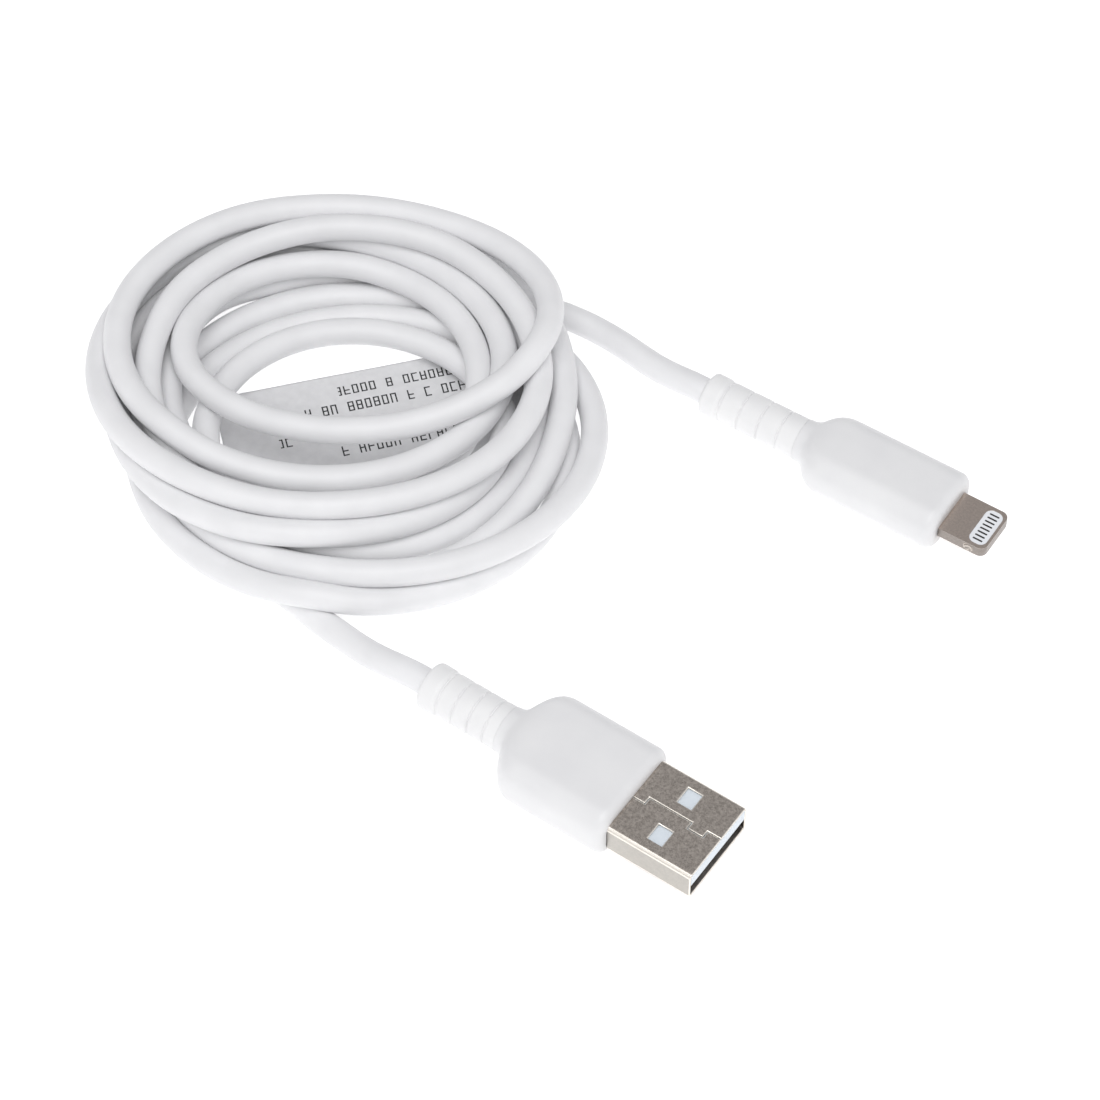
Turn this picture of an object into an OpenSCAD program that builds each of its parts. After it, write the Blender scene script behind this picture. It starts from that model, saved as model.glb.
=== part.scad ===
// A charging cable: a flat USB-A plug and a slim eight-contact blade plug
// on the two ends of one round cord, which lies in a loose coil.
// Millimetres, +Z up, and everything lies on the plane z = 0.
// The origin is the middle of the flat underside of the USB-A overmould,
// and the USB-A plug points along +X.

/* [Cord] */
// Outer diameter of the cord's jacket
cord_d = 3.5; // [2.5:0.1:4]
// Outer radius of the coil
coil_outer_r = 33; // [31:1:36]
// Inner radius of the coil
coil_inner_r = 11; // [8:1:16]
// Height of the pile of turns
coil_h = 13; // [9:1:14]
// Middle of the coil, along X
coil_x = -55.5; // [-58:0.5:-53]
// Middle of the coil, along Y
coil_y = 29.3; // [28:0.1:31]

/* [USB-A plug] */
// Length of the overmould
usb_body_l = 17; // [16:0.5:20]
// Width of the overmould
usb_body_w = 14.8; // [14.4:0.1:16]
// Height of the overmould
usb_body_h = 7.8; // [7.4:0.1:8.6]
// Length of the strain relief behind it
usb_relief_l = 13; // [10:0.5:18]
// Diameter of the strain relief
usb_relief_d = 6; // [5:0.1:6.5]
// Length of the steel shell that shows
usb_shell_out = 11.75; // [11:0.05:12]

/* [Blade plug] */
// Length of the overmould
blade_body_l = 20; // [19:0.5:23]
// Width of the overmould
blade_body_w = 11; // [10.6:0.1:12]
// Height of the overmould
blade_body_h = 6.8; // [6.4:0.1:7.6]
// Length of the strain relief behind it
blade_relief_l = 15.5; // [12:0.5:18]
// Diameter of the strain relief
blade_relief_d = 5.5; // [5:0.1:6]
// Length of the metal blade that shows
blade_out = 6.5; // [6.3:0.05:6.8]
// Place of the overmould's front face, along X
blade_x = 16.3; // [14:0.1:18]
// Place of the overmould's front face, along Y
blade_y = 58.4; // [57:0.1:60]
// Turn of the plug about the vertical, in degrees
blade_yaw = 2; // [0:0.5:3]

/* [Label] */
// Length of the flag label
label_l = 40; // [34:1:44]
// Width of the flag label
label_w = 18; // [16:1:22]
// Thickness of the folded label
label_t = 0.3; // [0.2:0.05:0.4]

/* [Hidden] */
$fn = 48;

cut = 0.5;             // how far a cutter runs past a face
gap = 0.05;            // clearance round a part that sits in a moulding
hull_fn = 32;

// Both plugs are drawn pointing along +X, with the overmould's front face at
// x = 0 and their centre line at y = z = 0.
usb_place = [usb_body_l / 2, 0, usb_body_h / 2];
blade_place = [blade_x, blade_y, blade_body_h / 2];
shoulder_l = 3;        // the flare between strain relief and full section
body_r = 3;            // rounding of an overmould's long edges
neck_extra = 0.9;      // neck diameter over strain relief diameter
groove_w = 0.35;
groove_depth = 0.5;
groove_count = 4;
collar_l = 2.6;
collar_extra = 0.3;

wire_d = 0.65;
bundle = 0.4;          // offset of the four wires in the cord
solder_d = 0.7;
solder_l = 1;
clamp_l = 1.8;
clamp_wall = 0.35;

// USB-A connector
shell_w = 12;
shell_h = 4.5;
shell_wall = 0.3;
shell_back = 6;        // how deep the shell sits in the overmould
shell_edge_r = 0.6;
window_l = 2;
window_w = 2.45;
window_x = 5.6;
window_y = 3.1;
seam_w = 0.1;
seam_step = 0.5;       // how far the seam jogs to each side
seam_jogs = [1.65, 7.65, 9.85];
insulator_clear = 0.05;
block_front = 2;       // where the insulator's block ends and its tongue begins
tongue_front = 11.7;
contact_pitches = [-3.5, -1, 1, 3.5];
contact_w = 1;
contact_t = 0.25;
contact_front = [10.6, 10, 10, 10.6];
usb_tail = -7.1;
usb_wire_front = -7.4;
usb_wire_back = -13.4;
usb_jacket_front = -13.7;
usb_mould = [-13.9, -1.2, 12.8, 5.8];   // back, front, width, height

// Blade connector
blade_w = 6.7;
blade_t = 1.5;
blade_corner_r = 1;
blade_back = 4.5;
flange = [-4.5, -2.5, 8.2, 2.6];        // back, front, width, height
island = [3.75, 6.1, 5.6];              // back, front, width
island_r = 0.9;
stem = [-5.2, 5.4, 1];                  // back, width, height
dimple_r = 0.75;
dimple_x = 4.3;
pad = [4.25, 5.6, 0.24];                // back, front, width
pad_pitch = 0.62;
pad_count = 8;
pad_tail_w = 0.2;
pad_tail_t = 0.1;
pad_tail_back = -6.2;
board = [-13.2, -5.2, 6.2, 0.56];       // back, front, width, thickness
can = [-14.2, -4.6, 8.2, 3.2];          // back, front, width, height
can_wall = 0.2;
board_pads = [-2.25, -0.75, 0.75, 2.25];
blade_wire_front = -13.4;
blade_wire_back = -16.6;
blade_jacket_front = -16.9;
blade_mould = [-16.8, -1.2, 9.2, 4.8];  // back, front, width, height

// Label: its long side runs at this angle across the middle of the coil
label_angle = 49;
label_shift = [3.5, -1.2];
label_r = 4;

// Routes of the two free stretches, from strain relief to coil
usb_route = [
    [-21.5, 0, 3.9], [-24.5, 0, 3.9], [-27.5, -0.1, 3.4], [-30.5, 0.1, 2.6],
    [-33.5, 0.5, 1.95], [-37, 1.2, 1.75], [-41.5, 2.1, 1.75]
];
blade_route = [
    [-19.25, 57.15, 3.4], [-22.2, 57.05, 3.4], [-25.5, 57, 3], [-29, 57.2, 2.3],
    [-33, 57.6, 1.8], [-37.5, 57.7, 1.95], [-42, 57.2, 2.8]
];
tube_sides = 8;

// ---- shared shapes --------------------------------------------------------

module rounded_rect(w, h, r) {
    square([w - 2 * r, h], center = true);
    square([w, h - 2 * r], center = true);
    for (x = [-1, 1], y = [-1, 1])
        translate([x * (w / 2 - r), y * (h / 2 - r)]) circle(r);
}

// A bar along X from x = back to x = front with rounded long edges
module bar(back, front, w, h, r) {
    translate([back, 0, 0]) rotate([90, 0, 90])
        linear_extrude(front - back) rounded_rect(w, h, r);
}

// A square-edged bar along X
module block(back, front, w, h) {
    translate([back, -w / 2, -h / 2]) cube([front - back, w, h]);
}

// A round bar along X
module rod(back, front, d) {
    translate([back, 0, 0]) rotate([0, 90, 0]) cylinder(d = d, h = front - back);
}

module straight_wire(from, to, d) {
    run = to - from;
    length = norm(run);
    translate(from) rotate([0, acos(run.z / length), atan2(run.y, run.x)])
        cylinder(d = d, h = length, $fn = 24);
}

// Outer shape of an overmould: full section with a shoulder down to the neck
module overmould_shape(l, w, h, neck_d) {
    bar(-l + shoulder_l, 0, w, h, body_r);
    hull() {
        bar(-l + shoulder_l, -l + shoulder_l + cut, w - gap, h - gap, body_r, $fn = hull_fn);
        rod(-l, -l + gap, neck_d, $fn = hull_fn);
    }
}

// Ribbed sleeve, from x = back to x = front, with the cord's bore
module relief(back, front, d) {
    pitch = (front - back - collar_l) / (groove_count + 0.5);
    difference() {
        union() {
            rod(back, front, d);
            rod(back, back + collar_l, d + collar_extra);
        }
        for (i = [0:groove_count - 1]) {
            x = back + collar_l + i * pitch;
            difference() {
                rod(x, x + groove_w, d + 1);
                rod(x - cut, x + groove_w + cut, d - 2 * groove_depth);
            }
        }
        rod(back - cut, front + cut, cord_d);
    }
}

module clamp_ring(back) {
    difference() {
        rod(back, back + clamp_l, cord_d + 2 * clamp_wall);
        rod(back - cut, back + clamp_l + cut, cord_d);
    }
}

// Where wire number i leaves the cord, seen from the front
function bundle_at(i) = [(i < 2 ? -1 : 1) * bundle, (i == 0 || i == 3 ? 1 : -1) * bundle];

module usb_wire(i, d) {
    straight_wire([usb_wire_back, bundle_at(i).x, bundle_at(i).y],
                  [usb_wire_front, contact_pitches[i], -solder_d / 2], d);
}

module blade_wire(i, d) {
    straight_wire([blade_wire_back, bundle_at(i).x, bundle_at(i).y],
                  [blade_wire_front, board_pads[i], board[3] / 2 + solder_d / 2], d);
}

module at_usb() { translate(usb_place) children(); }
module at_blade() { translate(blade_place) rotate([0, 0, blade_yaw]) children(); }

// ---- USB-A plug -----------------------------------------------------------

module usb_a_overmould() {
    color("whitesmoke") at_usb() difference() {
        overmould_shape(usb_body_l, usb_body_w, usb_body_h, usb_relief_d + neck_extra);
        bar(usb_mould[0], usb_mould[1], usb_mould[2], usb_mould[3], shell_edge_r);
        bar(usb_mould[1] - cut, cut, shell_w, shell_h, shell_edge_r);
        rod(-usb_body_l - cut, usb_mould[0] + cut, cord_d);
        rod(-usb_body_l + 1, usb_mould[0] + cut, cord_d + 2 * clamp_wall);
    }
}

module usb_a_strain_relief() {
    color("white") at_usb()
        relief(-usb_body_l - usb_relief_l, -usb_body_l, usb_relief_d);
}

module usb_a_inner_mould() {
    color("ivory") at_usb() difference() {
        bar(usb_mould[0], usb_mould[1], usb_mould[2], usb_mould[3], shell_edge_r);
        bar(-shell_back, cut, shell_w, shell_h, shell_edge_r);
        block(usb_tail - gap, -shell_back + cut, 2 * contact_pitches[3] + 2 * contact_w, 2);
        for (i = [0:3]) usb_wire(i, wire_d + 2 * gap);
        rod(usb_mould[0] - cut, usb_wire_back + gap, cord_d);
    }
}

module seam_path() {
    for (i = [0:3]) {
        side = i % 2 == 0 ? -seam_step : seam_step;
        from = i == 0 ? -shell_back - cut : seam_jogs[i - 1];
        to = i == 3 ? usb_shell_out + cut : seam_jogs[i];
        translate([from, side - seam_w / 2]) square([to - from, seam_w]);
    }
    for (x = seam_jogs)
        translate([x - seam_w / 2, -seam_step - seam_w / 2])
            square([seam_w, 2 * seam_step + seam_w]);
}

module usb_a_shell() {
    color("silver") at_usb() difference() {
        bar(-shell_back, usb_shell_out, shell_w, shell_h, shell_edge_r);
        bar(-shell_back - cut, usb_shell_out + cut,
            shell_w - 2 * shell_wall, shell_h - 2 * shell_wall, shell_edge_r - shell_wall);
        for (y = [-1, 1], z = [-1, 1])
            translate([window_x, y * window_y, z * shell_h / 2])
                cube([window_l, window_w, 1], center = true);
        translate([0, 0, shell_h / 2 - shell_wall - cut])
            linear_extrude(shell_wall + 2 * cut) seam_path();
    }
}

module usb_contact_strips() {
    for (i = [0:3])
        translate([usb_tail, contact_pitches[i] - contact_w / 2, 0])
            cube([contact_front[i] - usb_tail, contact_w, contact_t]);
}

module usb_a_insulator() {
    inner_w = shell_w - 2 * shell_wall - 2 * insulator_clear;
    inner_h = shell_h - 2 * shell_wall - 2 * insulator_clear;
    color("white") at_usb() difference() {
        union() {
            block(-shell_back + cut, block_front, inner_w, inner_h);
            translate([block_front, -inner_w / 2, 0])
                cube([tongue_front - block_front, inner_w, inner_h / 2]);
        }
        usb_contact_strips();
    }
}

module usb_a_contacts() {
    color("gold") at_usb() usb_contact_strips();
}

module usb_a_solder_joints() {
    color("lightgray") at_usb()
        for (y = contact_pitches)
            translate([0, y, -solder_d / 2])
                rod(usb_tail, usb_tail + solder_l, solder_d, $fn = 24);
}

module usb_a_cable_clamp() {
    color("silver") at_usb() clamp_ring(-usb_body_l + 1);
}

module usb_a_red_wire() { color("red") at_usb() usb_wire(0, wire_d); }
module usb_a_white_wire() { color("white") at_usb() usb_wire(1, wire_d); }
module usb_a_green_wire() { color("green") at_usb() usb_wire(2, wire_d); }
module usb_a_black_wire() { color("black") at_usb() usb_wire(3, wire_d); }

module usb_a_cord_end() {
    color("white") at_usb() rod(-usb_body_l - usb_relief_l, usb_jacket_front, cord_d);
}

// ---- blade plug -----------------------------------------------------------

module blade_overmould() {
    color("whitesmoke") at_blade() difference() {
        overmould_shape(blade_body_l, blade_body_w, blade_body_h, blade_relief_d + neck_extra);
        block(blade_mould[0], blade_mould[1], blade_mould[2], blade_mould[3]);
        block(blade_mould[1] - cut, cut, blade_w, blade_t);
        rod(-blade_body_l - cut, blade_mould[0] + cut, cord_d);
        rod(-blade_body_l + 1, blade_mould[0] + cut, cord_d + 2 * clamp_wall);
    }
}

module blade_strain_relief() {
    color("white") at_blade()
        relief(-blade_body_l - blade_relief_l, -blade_body_l, blade_relief_d);
}

module blade_inner_mould() {
    color("ivory") at_blade() difference() {
        block(blade_mould[0], blade_mould[1], blade_mould[2], blade_mould[3]);
        block(can[0] - gap, can[1] + 2 * gap, can[2] + 2 * gap, can[3] + 2 * gap);
        block(flange[0] - 2 * gap, flange[1], flange[2], flange[3]);
        block(flange[1] - cut, cut, blade_w, blade_t);
        for (i = [0:3]) blade_wire(i, wire_d + 2 * gap);
        rod(blade_mould[0] - cut, blade_mould[0] + 2 * gap, cord_d);
    }
}

// Plan of the part of the blade that shows, with rounded front corners
module blade_plan() {
    translate([0, -blade_w / 2]) square([blade_out - blade_corner_r, blade_w]);
    translate([0, -blade_w / 2 + blade_corner_r])
        square([blade_out, blade_w - 2 * blade_corner_r]);
    for (y = [-1, 1])
        translate([blade_out - blade_corner_r, y * (blade_w / 2 - blade_corner_r)])
            circle(blade_corner_r);
}

module island_plan() {
    translate([(island[0] + island[1]) / 2, 0])
        rounded_rect(island[1] - island[0], island[2], island_r);
}

module blade_frame() {
    color("silver") at_blade() difference() {
        union() {
            translate([0, 0, -blade_t / 2]) linear_extrude(blade_t) blade_plan();
            block(-blade_back, cut, blade_w, blade_t);
            block(flange[0], flange[1], flange[2], flange[3]);
        }
        translate([0, 0, -blade_t]) linear_extrude(2 * blade_t) island_plan();
        block(-blade_back - cut, (island[0] + island[1]) / 2, stem[1], stem[2]);
        for (y = [-1, 1])
            translate([dimple_x, y * (blade_w / 2 + dimple_r / 2), 0]) sphere(dimple_r);
    }
}

// The eight contacts of one face; side is 1 for the top and -1 for the bottom
module contact_row(side) {
    for (i = [0:pad_count - 1]) {
        y = (i - (pad_count - 1) / 2) * pad_pitch;
        mirror([0, 0, side < 0 ? 1 : 0]) {
            translate([(pad[0] + pad[1]) / 2, y, board[3] / 2])
                linear_extrude(blade_t / 2 - board[3] / 2)
                    rounded_rect(pad[1] - pad[0], pad[2], pad[2] / 2 - 0.02);
            translate([pad_tail_back, y - pad_tail_w / 2, board[3] / 2])
                cube([pad[1] - pad_tail_back, pad_tail_w, pad_tail_t]);
        }
    }
}

module blade_contact_carrier() {
    color("white") at_blade() difference() {
        union() {
            translate([0, 0, -blade_t / 2]) linear_extrude(blade_t) island_plan();
            block(stem[0], (island[0] + island[1]) / 2, stem[1], stem[2]);
        }
        contact_row(1);
        contact_row(-1);
    }
}

module blade_top_contacts() { color("gold") at_blade() contact_row(1); }
module blade_bottom_contacts() { color("gold") at_blade() contact_row(-1); }

module blade_circuit_board() {
    color("darkgreen") at_blade() block(board[0], board[1], board[2], board[3]);
}

module blade_control_chip() {
    color("dimgray") at_blade() translate([-10.2, -1.3, board[3] / 2]) cube([2.4, 2.6, 0.7]);
}

module blade_capacitors() {
    color("tan") at_blade()
        for (y = [-2, 0, 2])
            translate([-10, y - 0.25, -board[3] / 2 - 0.5]) cube([1, 0.5, 0.5]);
}

module blade_shield_can() {
    color("silver") at_blade() difference() {
        block(can[0], can[1], can[2], can[3]);
        block(can[0] - cut, can[1] + cut, can[2] - 2 * can_wall, can[3] - 2 * can_wall);
    }
}

module blade_solder_joints() {
    color("lightgray") at_blade()
        for (y = board_pads)
            translate([0, y, board[3] / 2 + solder_d / 2])
                rod(board[0] + 0.1, board[0] + 0.1 + solder_l, solder_d, $fn = 24);
}

module blade_cable_clamp() {
    color("silver") at_blade() clamp_ring(-blade_body_l + 1);
}

module blade_red_wire() { color("red") at_blade() blade_wire(0, wire_d); }
module blade_white_wire() { color("white") at_blade() blade_wire(1, wire_d); }
module blade_green_wire() { color("green") at_blade() blade_wire(2, wire_d); }
module blade_black_wire() { color("black") at_blade() blade_wire(3, wire_d); }

module blade_cord_end() {
    color("white") at_blade() rod(-blade_body_l - blade_relief_l, blade_jacket_front, cord_d);
}

// ---- cord -----------------------------------------------------------------

function unit(v) = v / norm(v);
function route_tangent(route, i) =
    unit(route[min(i + 1, len(route) - 1)] - route[max(i - 1, 0)]);

// One ring of the tube: across and up are square to the route at point i
function ring_points(route, i) =
    let (along = route_tangent(route, i),
         across = unit(cross([0, 0, 1], along)),
         up = cross(along, across))
    [for (k = [0:tube_sides - 1])
        let (a = (k + 0.5) * 360 / tube_sides)
        route[i] + cord_d / 2 * (cos(a) * across + sin(a) * up)];

module tube(route) {
    rings = len(route);
    points = [for (i = [0:rings - 1]) each ring_points(route, i)];
    sides = [for (i = [0:rings - 2], k = [0:tube_sides - 1])
        let (a = i * tube_sides + k, b = i * tube_sides + (k + 1) % tube_sides)
        [b, a, a + tube_sides, b + tube_sides]];
    ends = [[for (k = [0:tube_sides - 1]) k],
            [for (k = [tube_sides - 1:-1:0]) (rings - 1) * tube_sides + k]];
    polyhedron(points, concat(sides, ends), convexity = 4);
}

module usb_a_lead() { color("white") tube(usb_route); }
module blade_lead() { color("white") tube(blade_route); }

module label_slab(t) {
    translate([coil_x, coil_y, 0]) rotate([0, 0, label_angle])
        translate([label_shift[0], label_shift[1], 0])
            linear_extrude(t) rounded_rect(label_l, label_w, label_r);
}

// Outer shape of all the turns together
module cord_coil() {
    color("white") difference() {
        translate([coil_x, coil_y, 0]) rotate_extrude($fn = 72)
            translate([(coil_inner_r + coil_outer_r) / 2, coil_h / 2])
                rounded_rect(coil_outer_r - coil_inner_r, coil_h, cord_d);
        label_slab(label_t);
    }
}

module flag_label() { color("gainsboro") label_slab(label_t); }

// ---- nodes ----------------------------------------------------------------

usb_a_overmould();
usb_a_strain_relief();
usb_a_inner_mould();
usb_a_shell();
usb_a_insulator();
usb_a_contacts();
usb_a_solder_joints();
usb_a_cable_clamp();
usb_a_red_wire();
usb_a_white_wire();
usb_a_green_wire();
usb_a_black_wire();
usb_a_cord_end();
blade_overmould();
blade_strain_relief();
blade_inner_mould();
blade_frame();
blade_contact_carrier();
blade_top_contacts();
blade_bottom_contacts();
blade_circuit_board();
blade_control_chip();
blade_capacitors();
blade_shield_can();
blade_solder_joints();
blade_cable_clamp();
blade_red_wire();
blade_white_wire();
blade_green_wire();
blade_black_wire();
blade_cord_end();
usb_a_lead();
blade_lead();
cord_coil();
flag_label();
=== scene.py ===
# %% [markdown]
# # A charging cable around its working model
#
# The cable is one round white cord in a loose coil, with a flat USB-A plug at one end
# and a slim blade plug with eight contacts at the other. The working model brings every
# inner part and both bending joints. This script gives it the real length of cord,
# moulded housings, stamped metal and a finish for every surface.

# %% Load the working model
import math

import bmesh
import bpy
import numpy as np
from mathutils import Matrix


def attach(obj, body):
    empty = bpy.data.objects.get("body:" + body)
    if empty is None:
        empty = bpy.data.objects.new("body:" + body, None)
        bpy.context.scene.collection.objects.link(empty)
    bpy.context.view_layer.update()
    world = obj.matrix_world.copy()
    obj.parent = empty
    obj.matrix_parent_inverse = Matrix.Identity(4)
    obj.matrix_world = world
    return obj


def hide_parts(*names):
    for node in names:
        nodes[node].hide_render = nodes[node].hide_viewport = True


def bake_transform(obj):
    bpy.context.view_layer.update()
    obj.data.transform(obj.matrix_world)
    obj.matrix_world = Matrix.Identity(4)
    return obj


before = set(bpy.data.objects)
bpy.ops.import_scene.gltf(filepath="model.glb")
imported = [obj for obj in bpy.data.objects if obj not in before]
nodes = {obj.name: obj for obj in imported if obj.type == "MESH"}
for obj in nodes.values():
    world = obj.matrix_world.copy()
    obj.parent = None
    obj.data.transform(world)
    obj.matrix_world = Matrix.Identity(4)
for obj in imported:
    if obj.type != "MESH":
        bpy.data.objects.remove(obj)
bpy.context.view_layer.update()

MM = 0.001

# %% [markdown]
# ## The camera
#
# A camera can stand anywhere, but a long lens from half a metre keeps the two plugs in
# true proportion to each other. It looks down at the table from the front right. Depth of
# field stays off, so that every turn of the cord is sharp.

# %% Camera
AIM = np.array([-0.02289, 0.02722, 0.0])
CAMERA_TURN = math.radians(35)
CAMERA_RISE = math.radians(53.5)
CAMERA_REACH = 0.515
LENS = 135
SENSOR = 36
NEAREST = 0.01

away = np.array([
    math.sin(CAMERA_TURN) * math.cos(CAMERA_RISE),
    -math.cos(CAMERA_TURN) * math.cos(CAMERA_RISE),
    math.sin(CAMERA_RISE),
])
camera = bpy.data.objects.new("camera", bpy.data.cameras.new("camera"))
camera.data.lens = LENS
camera.data.sensor_width = SENSOR
camera.data.clip_start = NEAREST
camera.location = AIM + away * CAMERA_REACH
camera.rotation_euler = (math.pi / 2 - CAMERA_RISE, 0, CAMERA_TURN)
bpy.context.scene.collection.objects.link(camera)
bpy.context.scene.camera = camera
print("camera at", np.round(np.array(camera.location), 3).tolist())

# %% [markdown]
# ## Lines and tubes
#
# A few helpers make nearly every new piece: a smooth line through given points, a
# ring of points carried along a line, and a mesh from such rings. Working in whole arrays
# keeps each shape a formula that can be read and changed.

# %% Helpers: a smooth line through points, and a mesh from rings
def smooth_line(points, count):
    """Natural cubic spline through the points, returned at count even steps.

    Between two points the line is a cubic whose second slopes agree with its
    neighbours and are zero at both ends, found from one set of linear equations.
    """
    points = np.asarray(points, float)
    along = np.r_[0, np.cumsum(np.linalg.norm(np.diff(points, axis=0), axis=1))]
    step = np.diff(along)
    rise = np.diff(points, axis=0) / step[:, None]
    system = np.eye(len(points))
    inner = np.arange(1, len(points) - 1)
    system[inner, inner - 1] = step[:-1]
    system[inner, inner] = 2 * (step[:-1] + step[1:])
    system[inner, inner + 1] = step[1:]
    wanted = np.zeros_like(points)
    wanted[1:-1] = 6 * np.diff(rise, axis=0)
    second = np.linalg.solve(system, wanted)
    at = np.linspace(0, along[-1], count)
    i = np.clip(np.searchsorted(along, at, side="right") - 1, 0, len(step) - 1)
    h = step[i][:, None]
    left = (along[i + 1] - at)[:, None]
    right = (at - along[i])[:, None]
    return (
        (second[i] * left**3 + second[i + 1] * right**3) / (6 * h)
        + (points[i] / h - second[i] * h / 6) * left
        + (points[i + 1] / h - second[i + 1] * h / 6) * right
    )


def even_steps(line, step):
    """The same line again, with points the given step apart along it."""
    along = np.r_[0, np.cumsum(np.linalg.norm(np.diff(line, axis=0), axis=1))]
    at = np.linspace(0, along[-1], int(round(along[-1] / step)) + 1)
    return np.column_stack([np.interp(at, along, line[:, k]) for k in range(3)])


def ring_faces(rows, sides):
    """Quads between neighbouring rings, with their corners in order round the outside."""
    row, side = np.meshgrid(np.arange(rows - 1), np.arange(sides), indexing="ij")
    after = (side + 1) % sides
    corners = [row * sides + side, row * sides + after]
    corners += [(row + 1) * sides + after, (row + 1) * sides + side]
    return np.stack(corners, axis=-1).reshape(-1, 4)


def make_piece(name, points, faces, smooth=True):
    """A mesh at the origin from points in metres and lists of corner numbers."""
    mesh = bpy.data.meshes.new(name)
    mesh.from_pydata(np.asarray(points).tolist(), [], [list(f) for f in faces])
    mesh.polygons.foreach_set("use_smooth", np.full(len(mesh.polygons), smooth))
    mesh.update()
    piece = bpy.data.objects.new(name, mesh)
    bpy.context.scene.collection.objects.link(piece)
    return piece


def skin(name, rings):
    """A closed skin over rings of points, rows by sides by three, in metres.

    Neighbouring rings are joined by quads, and each end closes on its middle point.
    """
    rows, sides, _ = rings.shape
    points = np.vstack([rings.reshape(-1, 3), rings[0].mean(0), rings[-1].mean(0)])
    side = np.arange(sides)
    after = (side + 1) % sides
    first = np.full(sides, rows * sides)
    last = (rows - 1) * sides
    ends = [
        np.stack([first, after, side], axis=-1),
        np.stack([first + 1, last + side, last + after], axis=-1),
    ]
    faces = ring_faces(rows, sides).tolist() + np.vstack(ends).tolist()
    return make_piece(name, points, faces)


def rings_along(line, radius, sides):
    """Circles square to a line: middle + radius * (cos a * sideways + sin a * up).

    Sideways is level and square to the line's direction, and up completes the frame.
    The radius may differ from row to row and from side to side.
    """
    ahead = np.gradient(line, axis=0)
    ahead /= np.linalg.norm(ahead, axis=1)[:, None]
    sideways = np.cross([0.0, 0.0, 1.0], ahead)
    sideways /= np.linalg.norm(sideways, axis=1)[:, None]
    up = np.cross(ahead, sideways)
    a = np.linspace(0, 2 * np.pi, sides, endpoint=False)
    radius = np.broadcast_to(np.asarray(radius, float), (sides, len(line))).T[..., None]
    ring = np.cos(a)[None, :, None] * sideways[:, None] + np.sin(a)[None, :, None] * up[:, None]
    return line[:, None] + radius * ring


# %% [markdown]
# ## The cord's route
#
# The real thing is about one and a half metres of soft round cord, dropped on the table
# as a coil of ten uneven turns. Drawing such a heap by eye gives turns that cut through
# each other. Here every turn is first drawn flat, by how far it reaches to the front,
# left, back and right of the coil's middle, and stacked one above the other. A small
# relaxation then lets the stack sink until the strands rest on each other.

# %% The two leads and the reaches of every turn, in millimetres
CORD_D = 3.5
COIL_MIDDLE = np.array([-55.5, 29.3])
COIL_TURN = math.radians(35)
LAYER = 3.6
QUARTERS = 37
QUARTER_STEPS = 40

usb_route = [
    [-21.5, 0, 3.9], [-24.5, 0, 3.9], [-27.5, -0.1, 3.4], [-30.5, 0.1, 2.6],
    [-33.5, 0.5, 1.95], [-37, 1.2, 1.75], [-41.5, 2.1, 1.75],
]
blade_route = [
    [-19.25, 57.15, 3.4], [-22.2, 57.05, 3.4], [-25.5, 57, 3], [-29, 57.2, 2.3],
    [-33, 57.6, 1.8], [-37.5, 57.7, 1.95], [-42, 57.2, 2.8],
]
into_coil = [[-48, 3.0, 1.75], [-55.2, 4.6, 1.75], [-62.5, 7.6, 1.75]]
out_of_coil = [[-52.3, 53.6, 4.6]]

# front, left, back and right reach of each turn, then its four layers
turns = np.array([
    [26.0, 24.0, 15.9, 27.6, 0, 0, 0, 0],
    [30.6, 25.0, 22.0, 31.2, 2, 2, 2, 2],
    [29.2, 25.2, 29.0, 27.2, 3, 3, 3, 3],
    [26.6, 19.0, 12.6, 20.2, 4, 4, 4, 4.4],
    [23.2, 29.0, 26.0, 23.6, 5.2, 4.6, 4.6, 5],
    [23.8, 25.4, 24.4, 24.2, 4.6, 6, 9, 6.8],
    [21.8, 30.8, 24.8, 19.8, 7.6, 5.4, 6.2, 7],
    [15.8, 29.4, 26.8, 25.4, 8.8, 7.6, 6.6, 9.4],
    [8.4, 21.8, 22.0, 17.0, 10.4, 9, 8, 5],
    [17.0, 24.4, 19.0, 0, 3, 3, 1, 1],
])


def swing(reaches, quarter):
    """Half a cosine from each reach to the next, so that a reach is the widest point."""
    i = np.clip(np.floor(quarter / 2).astype(int), 0, len(reaches) - 2)
    share = quarter / 2 - i
    return reaches[i] + (reaches[i + 1] - reaches[i]) * (1 - np.cos(np.pi * share)) / 2


def stacked_turns():
    """The turns one above the other: two half-cosine swings a quarter turn apart."""
    front_back = np.column_stack([-turns[:, 0], turns[:, 2]]).ravel()
    front_back = np.append(front_back, -turns[-1, 0])
    left_right = np.column_stack([-turns[:, 1], turns[:, 3]]).ravel()
    left_right = np.r_[turns[0, 3], left_right]
    quarter = np.linspace(1, 1 + QUARTERS, QUARTERS * QUARTER_STEPS + 1)
    across = swing(left_right, quarter + 1)
    deep = swing(front_back, quarter)
    layers = turns[:, 4:].ravel()
    height = np.interp(quarter, np.arange(len(layers)), layers) * LAYER + CORD_D / 2
    return np.column_stack([
        COIL_MIDDLE[0] + across * math.cos(COIL_TURN) - deep * math.sin(COIL_TURN),
        COIL_MIDDLE[1] + across * math.sin(COIL_TURN) + deep * math.cos(COIL_TURN),
        height,
    ])


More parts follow.
